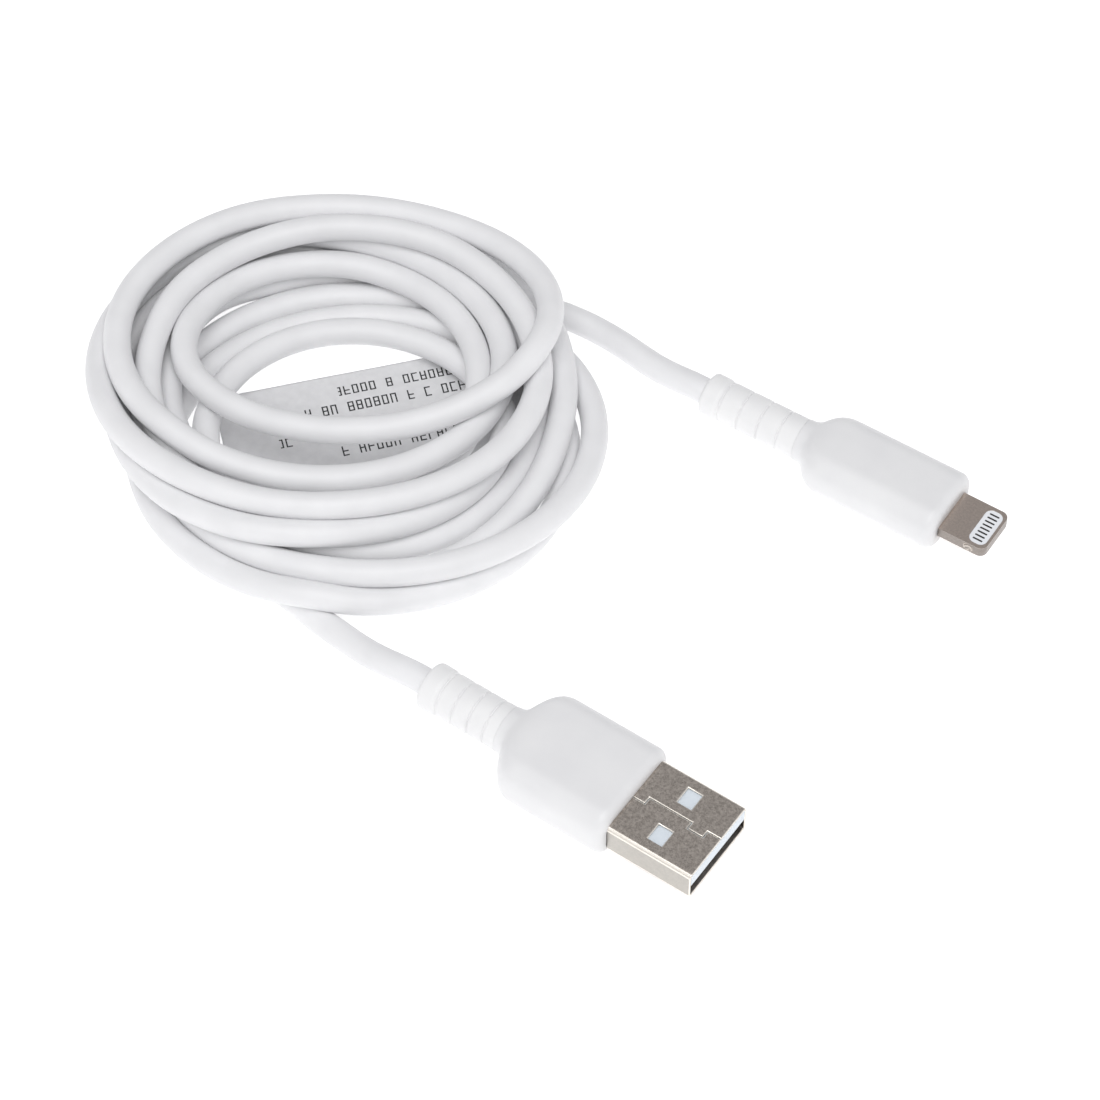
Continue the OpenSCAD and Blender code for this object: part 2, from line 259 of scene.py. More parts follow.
STEP = 1.5
LEAD_POINTS = 900
LEAVING = 60
coil = stacked_turns()
lead_in = smooth_line([*usb_route, *into_coil, coil[0], coil[QUARTER_STEPS]], LEAD_POINTS)
lead_in = lead_in[: np.linalg.norm(lead_in - coil[0], axis=1).argmin()]
lead_out = smooth_line([coil[-LEAVING], coil[-1], *out_of_coil, *blade_route[::-1]], LEAD_POINTS)
lead_out = lead_out[np.linalg.norm(lead_out - coil[-1], axis=1).argmin() + 1 :]
stacked = even_steps(np.vstack([lead_in, coil, lead_out]), STEP)
print("stacked cord:", len(stacked), "points,", round((len(stacked) - 1) * STEP), "mm")

# %% [markdown]
# ## Letting the cord settle
#
# A physics engine could drop the cord, but a cord of this length takes long to come to
# rest, and its turns end wherever they fall. The relaxation below repeats five gentle
# moves on the whole line: sink, drift back to the drawn plan, bend as little as possible,
# push touching strands towards a diameter apart, and stay on the table or on the label.

# %% The label's place, which the lowest turn lies on
LABEL_ANGLE = math.radians(49)
LABEL_L, LABEL_W, LABEL_R = 40, 18, 4
LABEL_THICK = 0.3
LABEL_SHIFT = (3.5, -1.2)
LABEL_RAMP = 4
along_label = np.array([math.cos(LABEL_ANGLE), math.sin(LABEL_ANGLE)])
across_label = np.array([-math.sin(LABEL_ANGLE), math.cos(LABEL_ANGLE)])
label_middle = COIL_MIDDLE + LABEL_SHIFT[0] * along_label + LABEL_SHIFT[1] * across_label


def resting_height(points):
    """Half a diameter above the table, and above the label inside its outline.

    The label's thickness fades to nothing over a ramp just outside that outline.
    """
    a = np.abs((points[:, :2] - label_middle) @ along_label) - LABEL_L / 2
    b = np.abs((points[:, :2] - label_middle) @ across_label) - LABEL_W / 2
    outside = np.maximum(a, b)
    return CORD_D / 2 + LABEL_THICK * np.clip(1 - outside / LABEL_RAMP, 0, 1)


# %% Settle the cord
SINK_ROUNDS, LEVEL_ROUNDS = 500, 80
SINK, LATE_SINK = 0.12, 0.048
LATE = 0.7 * SINK_ROUNDS
DRIFT = 0.03
PINNED = 6
NEARBY = 1.4 * CORD_D
PUSH = 0.3


def evened(values, passes):
    """Each value moves halfway to the middle of its neighbours, passes times over."""
    values = values.copy()
    for _ in range(passes):
        values[1:-1] += 0.5 * (0.5 * (values[:-2] + values[2:]) - values[1:-1])
    return values


def unbend(line, passes):
    """Stiffness: each point gives up a sixteenth of the line's fourth difference."""
    for _ in range(passes):
        fourth = line[:-4] - 4 * line[1:-3] + 6 * line[2:-2] - 4 * line[3:-1] + line[4:]
        line[2:-2] -= fourth / 16
    return line


def push_apart(line, one, two):
    """Strands closer than a diameter move apart along the line between them."""
    gap = line[two] - line[one]
    far = np.linalg.norm(gap, axis=1) + 1e-9
    short = np.maximum(CORD_D - far, 0)
    move = gap / far[:, None] * (PUSH * short)[:, None]
    count = len(line)
    total = np.column_stack([
        np.bincount(two, move[:, k], count) - np.bincount(one, move[:, k], count)
        for k in range(3)
    ])
    touching = short > 0
    hits = np.bincount(one[touching], minlength=count)
    hits += np.bincount(two[touching], minlength=count)
    line += total / np.maximum(1, hits * 0.5)[:, None]
    line[:, 2] = np.maximum(line[:, 2], resting_height(line))


def settle(line):
    """The stacked line after sinking, drifting, unbending and pushing apart."""
    plan = line[:, :2].copy()
    pinned = line.copy()
    line = line.copy()
    apart = int(math.ceil(1.7 * CORD_D / STEP))
    for n in range(SINK_ROUNDS + LEVEL_ROUNDS):
        if n < SINK_ROUNDS:
            line[:, 2] -= SINK if n < LATE else LATE_SINK
        line[:, :2] += DRIFT * (plan - line[:, :2])
        line[:, :2] = plan + evened(line[:, :2] - plan, 20)
        line[:, 2] = evened(line[:, 2], 10)
        unbend(line, 4)
        if n % 5 == 0:
            square = ((line[:, None] - line[None]) ** 2).sum(2)
            one, two = np.nonzero(np.triu(square < NEARBY**2, apart))
        for _ in range(4):
            push_apart(line, one, two)
        line[:PINNED] = pinned[:PINNED]
        line[-PINNED:] = pinned[-PINNED:]
    unbend(line, 12)
    line[:, 2] = np.maximum(line[:, 2], resting_height(line))
    return line


settled = settle(stacked)
print("settled: highest strand", round(settled[:, 2].max() + CORD_D / 2, 1), "mm")

# %% [markdown]
# ## The cord
#
# The jacket is a tube of soft white plastic, three and a half millimetres thick. A
# curve with a bevel would do, but a tube of rings keeps its own surface map, which the
# jacket's faint drawing lines need. Each end runs a little way into its strain relief.

# %% Cord mesh and its surface map
CORD_SIDES = 28
RING_STEP = 0.8
FINE_POINTS = 8000
RUN_IN = 1.2
line = even_steps(smooth_line(settled, FINE_POINTS), RING_STEP)
run_in = np.array([[RUN_IN, 0.0, 0.0]])
ends = [line[:1] + run_in, line, line[-1:] + run_in]
cord_line = np.vstack(ends) * MM
cord = skin("cord", rings_along(cord_line, CORD_D / 2 * MM, CORD_SIDES))
cord_length = float(np.linalg.norm(np.diff(cord_line, axis=0), axis=1).sum())


def map_tube(piece, rows, sides, length, girth):
    """UV map of a tube: U runs along it and V once round it, both in metres."""
    uv_map = piece.data.uv_layers.new(name="surface")
    row, side = np.meshgrid(np.arange(rows - 1), np.arange(sides), indexing="ij")
    corners = [(row, side), (row, side + 1), (row + 1, side + 1), (row + 1, side)]
    quads = np.stack([np.stack([r / (rows - 1) * length, s / sides * girth], -1)
                      for r, s in corners], axis=-2).reshape(-1, 2)
    uv = np.zeros((len(piece.data.loops), 2), np.float32)
    uv[: len(quads)] = quads
    uv_map.data.foreach_set("uv", uv.ravel())


map_tube(cord, len(cord_line), CORD_SIDES, cord_length, math.pi * CORD_D * MM)
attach(cord, "cord")
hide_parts("usb_a_lead", "blade_lead", "cord_coil")
print("cord:", round(cord_length, 3), "m,", len(cord.data.polygons), "faces")

# %% [markdown]
# ## Finishes
#
# Each finish is built on one pattern: a noise in the object's own coordinates that
# shifts the colour a little, the roughness a little and the height by microns. That is
# what moulded plastic and tumbled metal really do, and it keeps every surface from
# looking like flat paint. Numbers that are the same all over a surface are set on the
# shader itself.

# %% Helper: a finish with grain
def link(tree, source, target):
    """Joins two sockets."""
    tree.links.new(source, target)


def finish(name, dark, light, scale, rough, metallic=0.0, bump=0.1, depth=0.00002, detail=4.0):
    """A shader whose colour, roughness and height follow one noise.

    The noise runs between the dark and light colours and the two roughness values,
    and its height is depth metres at full bump. The tree's parts are returned.
    """
    material = bpy.data.materials.new(name)
    material.use_nodes = True
    tree = material.node_tree
    shader = tree.nodes["Principled BSDF"]
    shader.inputs["Metallic"].default_value = metallic
    place = tree.nodes.new("ShaderNodeTexCoord")
    grain = tree.nodes.new("ShaderNodeTexNoise")
    grain.inputs["Scale"].default_value = scale
    grain.inputs["Detail"].default_value = detail
    link(tree, place.outputs["Object"], grain.inputs["Vector"])
    ramp = tree.nodes.new("ShaderNodeValToRGB")
    ramp.color_ramp.elements[0].position = 0.3
    ramp.color_ramp.elements[1].position = 0.7
    ramp.color_ramp.elements[0].color = (*dark, 1)
    ramp.color_ramp.elements[1].color = (*light, 1)
    link(tree, grain.outputs["Fac"], ramp.inputs["Fac"])
    link(tree, ramp.outputs["Color"], shader.inputs["Base Color"])
    wear = tree.nodes.new("ShaderNodeMapRange")
    wear.inputs["To Min"].default_value = rough[0]
    wear.inputs["To Max"].default_value = rough[1]
    link(tree, grain.outputs["Fac"], wear.inputs["Value"])
    link(tree, wear.outputs["Result"], shader.inputs["Roughness"])
    relief = tree.nodes.new("ShaderNodeBump")
    relief.inputs["Strength"].default_value = bump
    relief.inputs["Distance"].default_value = depth
    link(tree, grain.outputs["Fac"], relief.inputs["Height"])
    link(tree, relief.outputs["Normal"], shader.inputs["Normal"])
    parts = {"tree": tree, "shader": shader, "place": place, "grain": grain}
    parts.update(ramp=ramp, wear=wear, relief=relief)
    return material, parts


def coat_with(piece, material):
    """The piece wears this material alone."""
    piece.data.materials.clear()
    piece.data.materials.append(material)


# %% [markdown]
# ## The jacket's finish
#
# The jacket is extruded through a die, which leaves faint lines along it and a satin
# skin. A noise stretched along the surface map draws the lines, and the object noise
# beneath adds the slow change of shade of handled white plastic.

# %% Cord jacket
jacket, parts = finish(
    "cord_jacket", (0.80, 0.80, 0.81), (0.84, 0.84, 0.85), 220, (0.42, 0.52), bump=0.25,
)
tree = parts["tree"]
surface = tree.nodes.new("ShaderNodeUVMap")
surface.uv_map = "surface"
stretch = tree.nodes.new("ShaderNodeMapping")
stretch.inputs["Scale"].default_value = (60, 2600, 1)
die_lines = tree.nodes.new("ShaderNodeTexNoise")
die_lines.inputs["Scale"].default_value = 1
die_lines.inputs["Detail"].default_value = 3
die_bump = tree.nodes.new("ShaderNodeBump")
die_bump.inputs["Strength"].default_value = 0.12
die_bump.inputs["Distance"].default_value = 0.00004
link(tree, surface.outputs["UV"], stretch.inputs["Vector"])
link(tree, stretch.outputs["Vector"], die_lines.inputs["Vector"])
link(tree, die_lines.outputs["Fac"], die_bump.inputs["Height"])
link(tree, parts["relief"].outputs["Normal"], die_bump.inputs["Normal"])
link(tree, die_bump.outputs["Normal"], parts["shader"].inputs["Normal"])
coat_with(cord, jacket)
print("jacket finish:", len(tree.nodes), "nodes")

# %% [markdown]
# ## The moulded housings
#
# Each plug's housing is white plastic moulded over its insides: a flat body with
# generous round edges that pinches into a round neck. Boxes with a bevel can't make
# that neck, so each housing is lofted: a rounded rectangle whose width, height and
# corner radius change along the plug, and end as a circle at the strain relief.

# %% Helpers: a rounded rectangle that changes along the plug, and a plug's place
CORNER_STEPS = 12


def rounded_rows(half_w, half_h, corner, x):
    """Rings round a rectangle with round corners, one for each x.

    Each of the four corners is a quarter circle about (half width - radius, half
    height - radius), and the straight sides are what joins them.
    """
    rows = [np.asarray(v, float)[:, None] for v in (half_w, half_h, corner, x)]
    half_w, half_h, corner, x = rows
    quarter = np.repeat(np.arange(4), CORNER_STEPS + 1)[None]
    a = quarter * np.pi / 2 + np.tile(np.linspace(0, np.pi / 2, CORNER_STEPS + 1), 4)[None]
    sign_y = np.where((quarter == 0) | (quarter == 3), 1, -1)
    sign_z = np.where(quarter < 2, 1, -1)
    y = sign_y * (half_w - corner) + corner * np.cos(a)
    z = sign_z * (half_h - corner) + corner * np.sin(a)
    return np.stack([np.broadcast_to(x, y.shape), y, z], axis=-1)


def put(points, place, turn):
    """From a plug's own millimetres to the row frame's metres."""
    c, s = math.cos(turn), math.sin(turn)
    x, y, z = points[..., 0], points[..., 1], points[..., 2]
    return np.stack([place[0] + x * c - y * s, place[1] + x * s + y * c, place[2] + z], -1) * MM


# %% Helper: one housing
def housing(name, length, width, height, neck, mouth, place, turn):
    """A housing from its neck to its front rim, with a shallow mouth for the metal.

    Fullness runs from 0 at the round neck to 1 at the full section, along a line that
    leaves the neck in a small hollow and rounds over into the sides. The rim is a
    quarter circle, and the mouth goes a little way in and is closed.
    """
    edge = 1.3
    full_corner = 3.0
    shoulder_rows, side_rows, rim_rows = 44, 14, 12
    side_start = 4.5
    shoulder = np.array([
        [-1.6, 0.0], [-1.1, 0.012], [-0.6, 0.05], [-0.15, 0.14], [0.2, 0.28], [0.55, 0.45],
        [1.0, 0.63], [1.6, 0.80], [2.3, 0.92], [3.0, 0.98], [3.7, 1.0],
    ])
    x, full = smooth_line(np.column_stack([shoulder, np.zeros(len(shoulder))]), shoulder_rows)[:, :2].T
    x = np.r_[x - length, np.linspace(-length + side_start, -edge, side_rows)]
    full = np.clip(np.r_[full, np.ones(side_rows)], 0, 1)
    bend = np.linspace(0, np.pi / 2, rim_rows)[1:]
    inset = edge * (1 - np.cos(bend))
    x = np.r_[x, -edge + edge * np.sin(bend)]
    full = np.r_[full, np.ones(len(bend))]
    half_w = neck + (width / 2 - neck) * full
    half_h = neck + (height / 2 - neck) * full
    corner = neck + (full_corner - neck) * full
    half_w[-len(bend):] -= inset
    half_h[-len(bend):] -= inset
    corner[-len(bend):] -= inset
    mouth_w, mouth_h, mouth_r = mouth
    chamfer, clearance, mouth_depth = 0.06, 0.03, 1.1
    lip = np.array([chamfer, 0.0, 0.0])
    half_w = np.r_[half_w, mouth_w / 2 + lip + clearance]
    half_h = np.r_[half_h, mouth_h / 2 + lip + clearance]
    corner = np.r_[corner, mouth_r + lip + clearance]
    x = np.r_[x, 0.0, -chamfer, -mouth_depth]
    piece = skin(name, put(rounded_rows(half_w, half_h, corner, x), place, turn))
    print(name + ":", len(piece.data.polygons), "faces")
    return piece


# %% Both housings
USB_PLACE, USB_TURN = (8.5, 0, 3.9), 0.0
BLADE_PLACE, BLADE_TURN = (16.3, 58.4, 3.4), math.radians(2)
usb_housing = housing(
    "usb_a_housing", length=17, width=14.8, height=7.8, neck=3.08,
    mouth=(12, 4.5, 0.6), place=USB_PLACE, turn=USB_TURN,
)
blade_housing = housing(
    "blade_housing", length=20, width=11, height=6.8, neck=2.83,
    mouth=(6.7, 1.5, 0.05), place=BLADE_PLACE, turn=BLADE_TURN,
)
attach(usb_housing, "usb_a_plug")
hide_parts("usb_a_overmould")
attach(blade_housing, "blade_plug")
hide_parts("blade_overmould")

# %% [markdown]
# ## The housing's finish
#
# Such a mould is spark-textured and lightly polished, so the plastic is satin. Paint
# alone would look flat, so a second, very fine noise adds a grain that only shows in the
# highlight.

# %% Housing plastic
moulding, parts = finish(
    "white_housing", (0.78, 0.78, 0.79), (0.82, 0.82, 0.825), 160, (0.34, 0.42), bump=0.2,
)
tree = parts["tree"]
spark = tree.nodes.new("ShaderNodeTexNoise")
spark.inputs["Scale"].default_value = 5200
spark_bump = tree.nodes.new("ShaderNodeBump")
spark_bump.inputs["Strength"].default_value = 0.12
spark_bump.inputs["Distance"].default_value = 0.00002
link(tree, parts["place"].outputs["Object"], spark.inputs["Vector"])
link(tree, spark.outputs["Fac"], spark_bump.inputs["Height"])
link(tree, parts["relief"].outputs["Normal"], spark_bump.inputs["Normal"])
link(tree, spark_bump.outputs["Normal"], parts["shader"].inputs["Normal"])
for piece in (usb_housing, blade_housing):
    coat_with(piece, moulding)

# %% [markdown]
# ## The strain reliefs
#
# Behind each housing a softer sleeve grips the cord. Narrow grooves run round it, each
# broken by two small webs, so that it bends in a fair curve and doesn't split. The
# sleeve is a tube whose radius is a formula of the place along it and round it. It
# crosses the bending joint.

# %% Helper: one grooved sleeve
SLEEVE_SIDES = 72
COLLAR = 2.6
GROOVES = 4


def sleeve(name, back, front, radius, place, turn):
    """The sleeve's outside, closed at both ends, with a short bore for the cord.

    The radius is the plain one, plus a collar, minus a rounded groove at each pitch.
    A web fills a groove where its own angle comes near; it moves from groove to groove.
    """
    x = np.linspace(back + 0.45, front, 260)
    a = np.linspace(0, 2 * np.pi, SLEEVE_SIDES, endpoint=False)[:, None]
    collar = 0.12 / (1 + np.exp((x - back - COLLAR + 0.35) / 0.08))
    outer = radius + collar + 0 * a
    pitch = (front - back - COLLAR) / (GROOVES + 0.5)
    for n in range(GROOVES):
        dip = np.exp(-(((x - back - COLLAR - n * pitch - 0.15) / 0.13) ** 2))
        web_at = math.radians(62 + 56 * (n % 2))
        off = np.abs((a - web_at + np.pi / 2) % np.pi - np.pi / 2)
        outer -= 0.3 * dip * np.clip((off - 0.07) / 0.06, 0, 1)
    bend = np.linspace(0, np.pi / 2, 8)[:-1]
    rim = np.column_stack([back + 0.45 - 0.45 * np.cos(bend), radius - 0.33 + 0.45 * np.sin(bend)])
    bore = np.array([
        [back + 1.5, CORD_D / 2 + 0.03], [back + 0.12, CORD_D / 2 + 0.03],
        [back, CORD_D / 2 + 0.18],
    ])
    lead = np.vstack([bore, rim])
    x = np.r_[lead[:, 0], x]
    outer = np.hstack([np.repeat(lead[None, :, 1], SLEEVE_SIDES, axis=0), outer])
    outer = outer.T
    angle = a.T
    along = np.broadcast_to(x[:, None], outer.shape)
    ring = np.stack([along, outer * np.cos(angle), outer * np.sin(angle)], axis=-1)
    piece = skin(name, put(ring, place, turn))
    print(name + ":", len(piece.data.polygons), "faces")
    return piece


def core(name, back, front, place, turn):
    """The end of the cord inside a sleeve: a plain round bar along the plug."""
    x = np.linspace(back, front, 40)
    straight = np.column_stack([x, np.zeros((len(x), 2))])
    rings = rings_along(straight, CORD_D / 2 - 0.02, 24)
    return skin(name, put(rings, place, turn))


# %% Both sleeves and the cord ends in them
plugs = {
    "usb_a": (-30, -17, 3.0, -13.7, USB_PLACE, USB_TURN),
    "blade": (-35.5, -20, 2.75, -16.9, BLADE_PLACE, BLADE_TURN),
}
sleeves = {}
for plug, (back, front, radius, jacket_end, place, turn) in plugs.items():
    ring_sleeve = sleeve(plug + "_sleeve", back, front, radius, place, turn)
    cord_end = core(plug + "_cord_core", back, jacket_end, place, turn)
    coat_with(cord_end, jacket)
    start, end = put(np.array([[back, 0, 0], [front, 0, 0]], float), place, turn)
    for piece in (ring_sleeve, cord_end):
        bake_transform(piece)
    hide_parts(plug + "_strain_relief")
    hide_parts(plug + "_cord_end")
    sleeves[plug] = (ring_sleeve, cord_end)

# %% [markdown]
# ## The sleeve's finish
#
# The sleeves are a softer grade of the same plastic, so they are a shade lighter and less
# glossy than the housings. The plain pattern of noise, with no second grain, is enough.

# %% Sleeve rubber
rubber, _ = finish(
    "white_sleeve", (0.83, 0.83, 0.835), (0.87, 0.87, 0.87), 300, (0.46, 0.56), bump=0.25,
)
for ring_sleeve, _ in sleeves.values():
    coat_with(ring_sleeve, rubber)

# %% [markdown]
# ## The stamped metal
#
# The USB-A shell is folded from thin nickel-plated steel, with a stepped seam along its
# top and four windows. The blade is a cast frame with a dimple on each side. Both come
# from the working model. Real stampings have no knife edges, and it is the small round
# of each edge that catches the light, so a merged copy of each gets a fine bevel.

# %% Helper: a merged copy of a working part with rounded edges
def rounded_copy(name, node, width):
    """The part's own mesh with doubles merged, flat faces joined and edges rounded.

    Faces that stand upright take the second finish, a darker copy painted as shade.
    Slanted faces and the rounded edges take the third, a lighter copy painted as a highlight.
    """
    shape = bmesh.new()
    shape.from_mesh(nodes[node].data)
    bmesh.ops.remove_doubles(shape, verts=shape.verts, dist=0.000002)
    bmesh.ops.dissolve_limit(
        shape, angle_limit=math.radians(0.5), verts=shape.verts, edges=shape.edges,
    )
    mesh = bpy.data.meshes.new(name)
    shape.to_mesh(mesh)
    shape.free()
    piece = bpy.data.objects.new(name, mesh)
    bpy.context.scene.collection.objects.link(piece)
    mesh.polygons.foreach_set("use_smooth", np.full(len(mesh.polygons), True))
    facing = np.zeros(3 * len(mesh.polygons))
    mesh.polygons.foreach_get("normal", facing)
    tilt = np.abs(facing.reshape(-1, 3)[:, 2])
    # painted light: upright faces get a copy painted darker as shade, slanted faces and bevels a copy
    # painted lighter as a highlight
    chosen = np.where(tilt > 0.97, 0, np.where(tilt < 0.2, 1, 2))
    mesh.polygons.foreach_set("material_index", chosen.astype(np.int32))
    bevel = piece.modifiers.new("rounded edges", "BEVEL")
    bevel.width = width
    bevel.segments = 2
    bevel.limit_method = "ANGLE"
    bevel.angle_limit = math.radians(35)
    bevel.material = 2
    shading = piece.modifiers.new("flat faces stay flat", "WEIGHTED_NORMAL")
    shading.weight = 100
    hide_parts(node)
    print(name + ":", len(mesh.polygons), "faces before rounding")
    return piece


shell = rounded_copy("usb_a_metal_shell", "usb_a_shell", 0.00013)
blade = rounded_copy("blade_metal_frame", "blade_frame", 0.00014)
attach(shell, "usb_a_plug")
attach(blade, "blade_plug")

# %% [markdown]
# ## The metal's finish
#
# Thin plating on stamped steel looks blotchy, because it was tumbled with small stones. A
# single noise looks like clouds, so a coarse and a very fine one are averaged. Flat faces
# take the plain finish. Upright faces take a darker copy as painted shade, slanted faces
# and rounded edges a lighter copy as a painted highlight, and the inside of the shell a
# dark copy as painted shade.

# %% Plated steel: a blotchy grain over fine tumbling marks
def plated(name, dark, light, blotch, rough):
    """Metal whose grain is half a coarse noise plus half a very fine one."""
    material, parts = finish(
        name, dark, light, blotch, rough, metallic=1.0, bump=0.35, depth=0.00001, detail=8.0,
    )
    tree = parts["tree"]
    fine = tree.nodes.new("ShaderNodeTexNoise")
    fine.inputs["Scale"].default_value = 4 * blotch
    fine.inputs["Detail"].default_value = 2
    both = tree.nodes.new("ShaderNodeMath")
    both.operation = "MULTIPLY_ADD"
    both.inputs[1].default_value = 0.5
    link(tree, parts["place"].outputs["Object"], fine.inputs["Vector"])
    link(tree, fine.outputs["Fac"], both.inputs[0])
    half = tree.nodes.new("ShaderNodeMath")
    half.operation = "MULTIPLY"
    half.inputs[1].default_value = 0.5
    link(tree, parts["grain"].outputs["Fac"], half.inputs[0])
    link(tree, half.outputs["Value"], both.inputs[2])
    for target in (parts["ramp"].inputs["Fac"], parts["wear"].inputs["Value"],
                   parts["relief"].inputs["Height"]):
        link(tree, both.outputs["Value"], target)
    return material


def wear_all(piece, materials):
    """The piece wears several finishes, and its faces keep the finish they chose."""
    chosen = np.zeros(len(piece.data.polygons), np.int32)
    piece.data.polygons.foreach_get("material_index", chosen)
    piece.data.materials.clear()
    for material in materials:
        piece.data.materials.append(material)
    piece.data.polygons.foreach_set("material_index", chosen)


flat_steel = plated("plug_steel", (0.30, 0.265, 0.235), (0.88, 0.80, 0.72), 3000, (0.22, 0.34))
# painted shade: a darker copy of the steel for the shell's upright faces
shaded_side_steel = plated("shaded_side_steel", (0.40, 0.385, 0.36), (0.50, 0.475, 0.44), 1800, (0.28, 0.38))
# painted shade: a dark copy of the steel for the faces inside the shell's hollow
painted_shade_steel = plated("painted_shade_inner_steel", (0.16, 0.14, 0.12), (0.26, 0.23, 0.21), 1800, (0.35, 0.5))
# painted highlight: a lighter copy of the steel for the shell's slanted faces and rounded edges
painted_highlight_steel = plated("painted_highlight_steel", (0.84, 0.79, 0.72), (0.93, 0.88, 0.81), 1200, (0.30, 0.40))
blade_steel = plated("blade_steel", (0.50, 0.43, 0.38), (0.74, 0.64, 0.57), 3600, (0.25, 0.36))
# painted shade: a darker copy of the steel for the blade's upright faces
shaded_blade_side = plated("shaded_blade_side_steel", (0.24, 0.215, 0.20), (0.34, 0.305, 0.28), 3600, (0.3, 0.42))
# painted highlight: a lighter copy of the steel for the blade's slanted faces and rounded edges
highlight_blade_edge = plated("highlight_blade_edge_steel", (0.56, 0.51, 0.47), (0.72, 0.66, 0.60), 3600, (0.28, 0.4))

# faces inside the shell's hollow take the dark copy, painted shade
HOLLOW_HALF_W, HOLLOW_HALF_H = 5.72, 1.97
middles = np.zeros(3 * len(shell.data.polygons))
shell.data.polygons.foreach_get("center", middles)
off = np.abs(middles.reshape(-1, 3) / MM - USB_PLACE)
inside = (off[:, 1] < HOLLOW_HALF_W) & (off[:, 2] < HOLLOW_HALF_H)
chosen = np.zeros(len(shell.data.polygons), np.int32)
shell.data.polygons.foreach_get("material_index", chosen)
shell.data.polygons.foreach_set("material_index", np.where(inside, 3, chosen).astype(np.int32))
wear_all(shell, [flat_steel, shaded_side_steel, painted_highlight_steel, painted_shade_steel])
wear_all(blade, [blade_steel, shaded_blade_side, highlight_blade_edge])
print("steel faces inside the shell:", int(inside.sum()))

# %% [markdown]
# ## Everything inside
#
# The insulators, contacts, board, wires and clamps are right as they are in the working
# model, so they stay, and only their finish is made here. One table holds the colours:
# dark and light shade, grain size, roughness, metal or not.

# %% Finishes of the inner parts
inner = {
    "inner_mould": ((0.62, 0.58, 0.48), (0.72, 0.68, 0.57), 500, (0.5, 0.6), 0.0),
    "clamp_steel": ((0.42, 0.42, 0.42), (0.6, 0.6, 0.6), 1500, (0.3, 0.45), 1.0),
    "white_insulator": ((0.68, 0.74, 0.80), (0.74, 0.80, 0.86), 700, (0.3, 0.4), 0.0),
    "gold_contacts": ((0.72, 0.50, 0.20), (0.90, 0.66, 0.30), 2500, (0.2, 0.3), 1.0),
    "solder": ((0.5, 0.5, 0.52), (0.68, 0.68, 0.7), 2500, (0.25, 0.4), 1.0),
    "red_insulation": ((0.55, 0.02, 0.02), (0.68, 0.03, 0.03), 900, (0.35, 0.45), 0.0),
    "white_insulation": ((0.72, 0.72, 0.70), (0.8, 0.8, 0.78), 900, (0.35, 0.45), 0.0),
    "green_insulation": ((0.02, 0.28, 0.06), (0.03, 0.38, 0.09), 900, (0.35, 0.45), 0.0),
    "black_insulation": ((0.012, 0.012, 0.012), (0.03, 0.03, 0.03), 900, (0.35, 0.45), 0.0),
    "green_board": ((0.01, 0.10, 0.04), (0.02, 0.16, 0.06), 1800, (0.3, 0.4), 0.0),
    "black_chip": ((0.012, 0.012, 0.014), (0.03, 0.03, 0.032), 2500, (0.45, 0.6), 0.0),
    "ceramic_capacitor": ((0.42, 0.30, 0.18), (0.52, 0.38, 0.24), 2500, (0.4, 0.5), 0.0),
}
slot_of = {
    "usb_a_inner_mould": "inner_mould", "blade_inner_mould": "inner_mould",
    "usb_a_insulator": "white_insulator", "blade_contact_carrier": "white_insulator",
    "usb_a_contacts": "gold_contacts", "blade_top_contacts": "gold_contacts",
    "blade_bottom_contacts": "gold_contacts", "usb_a_solder_joints": "solder",
    "blade_solder_joints": "solder", "usb_a_cable_clamp": "clamp_steel",
    "blade_cable_clamp": "clamp_steel", "blade_shield_can": "clamp_steel",
    "blade_circuit_board": "green_board", "blade_control_chip": "black_chip",
    "blade_capacitors": "ceramic_capacitor",
}
for plug in ("usb_a", "blade"):
    for colour in ("red", "white", "green", "black"):
        slot_of[plug + "_" + colour + "_wire"] = colour + "_insulation"

finishes = {}
for slot, (dark, light, scale, rough, metallic) in inner.items():
    finishes[slot], _ = finish(slot, dark, light, scale, rough, metallic, bump=0.3)
for node, slot in slot_of.items():
    coat_with(nodes[node], finishes[slot])
print("inner parts finished:", len(slot_of))

# %% [markdown]
# ## The blade's contacts
#
# Each face of the blade shows eight small contacts in a white island. Their plating is
# thin and dark, unlike the gold of the wide USB-A contacts, so they get a finish of
# their own.

# %% Dark plated contacts
dark_plate, _ = finish(
    "dark_contacts", (0.02, 0.018, 0.016), (0.045, 0.04, 0.036), 3000, (0.3, 0.4), 0.5, bump=0.3,
)
island, _ = finish(
    "white_island", (0.80, 0.82, 0.86), (0.85, 0.87, 0.90), 900, (0.3, 0.4), bump=0.2,
)
for node in ("blade_top_contacts", "blade_bottom_contacts"):
    coat_with(nodes[node], dark_plate)
coat_with(nodes["blade_contact_carrier"], island)
print("blade contacts and their island finished")

# %% [markdown]
# ## The flag label
#
# A paper label lies inside the coil, under the turns. A plane with a thickness would do,
# but paper is never quite flat, so it is a grid over a rounded rectangle with a slight
# wave, and a second skin below it.

# %% Label
LABEL_ROWS, LABEL_COLUMNS = 81, 45
PAPER = 0.14


def label_rows():
    """The label's grid: length by width, with its corners drawn in to a radius.

    At each place along the label its half width is the full one, less what a quarter
    circle takes off within a radius of either end.
    """
    u = np.linspace(-1, 1, LABEL_ROWS)
    u = np.sin(u * np.pi / 2) * 0.25 + u * 0.75
    a = u * LABEL_L / 2
    in_end = np.clip(np.abs(a) - (LABEL_L / 2 - LABEL_R), 0, LABEL_R)
    half = LABEL_W / 2 - LABEL_R + np.sqrt(LABEL_R**2 - in_end**2)
    v = np.linspace(-1, 1, LABEL_COLUMNS)
    return a[:, None] + 0 * v[None], half[:, None] * v[None]


def label_height(a, b):
    """The sheet's height: nearly flat, with a low wave that dies out at the edges."""
    return 0.13 + 0.05 * np.sin(a * 0.33 + 0.6) * np.cos(b * 0.21)


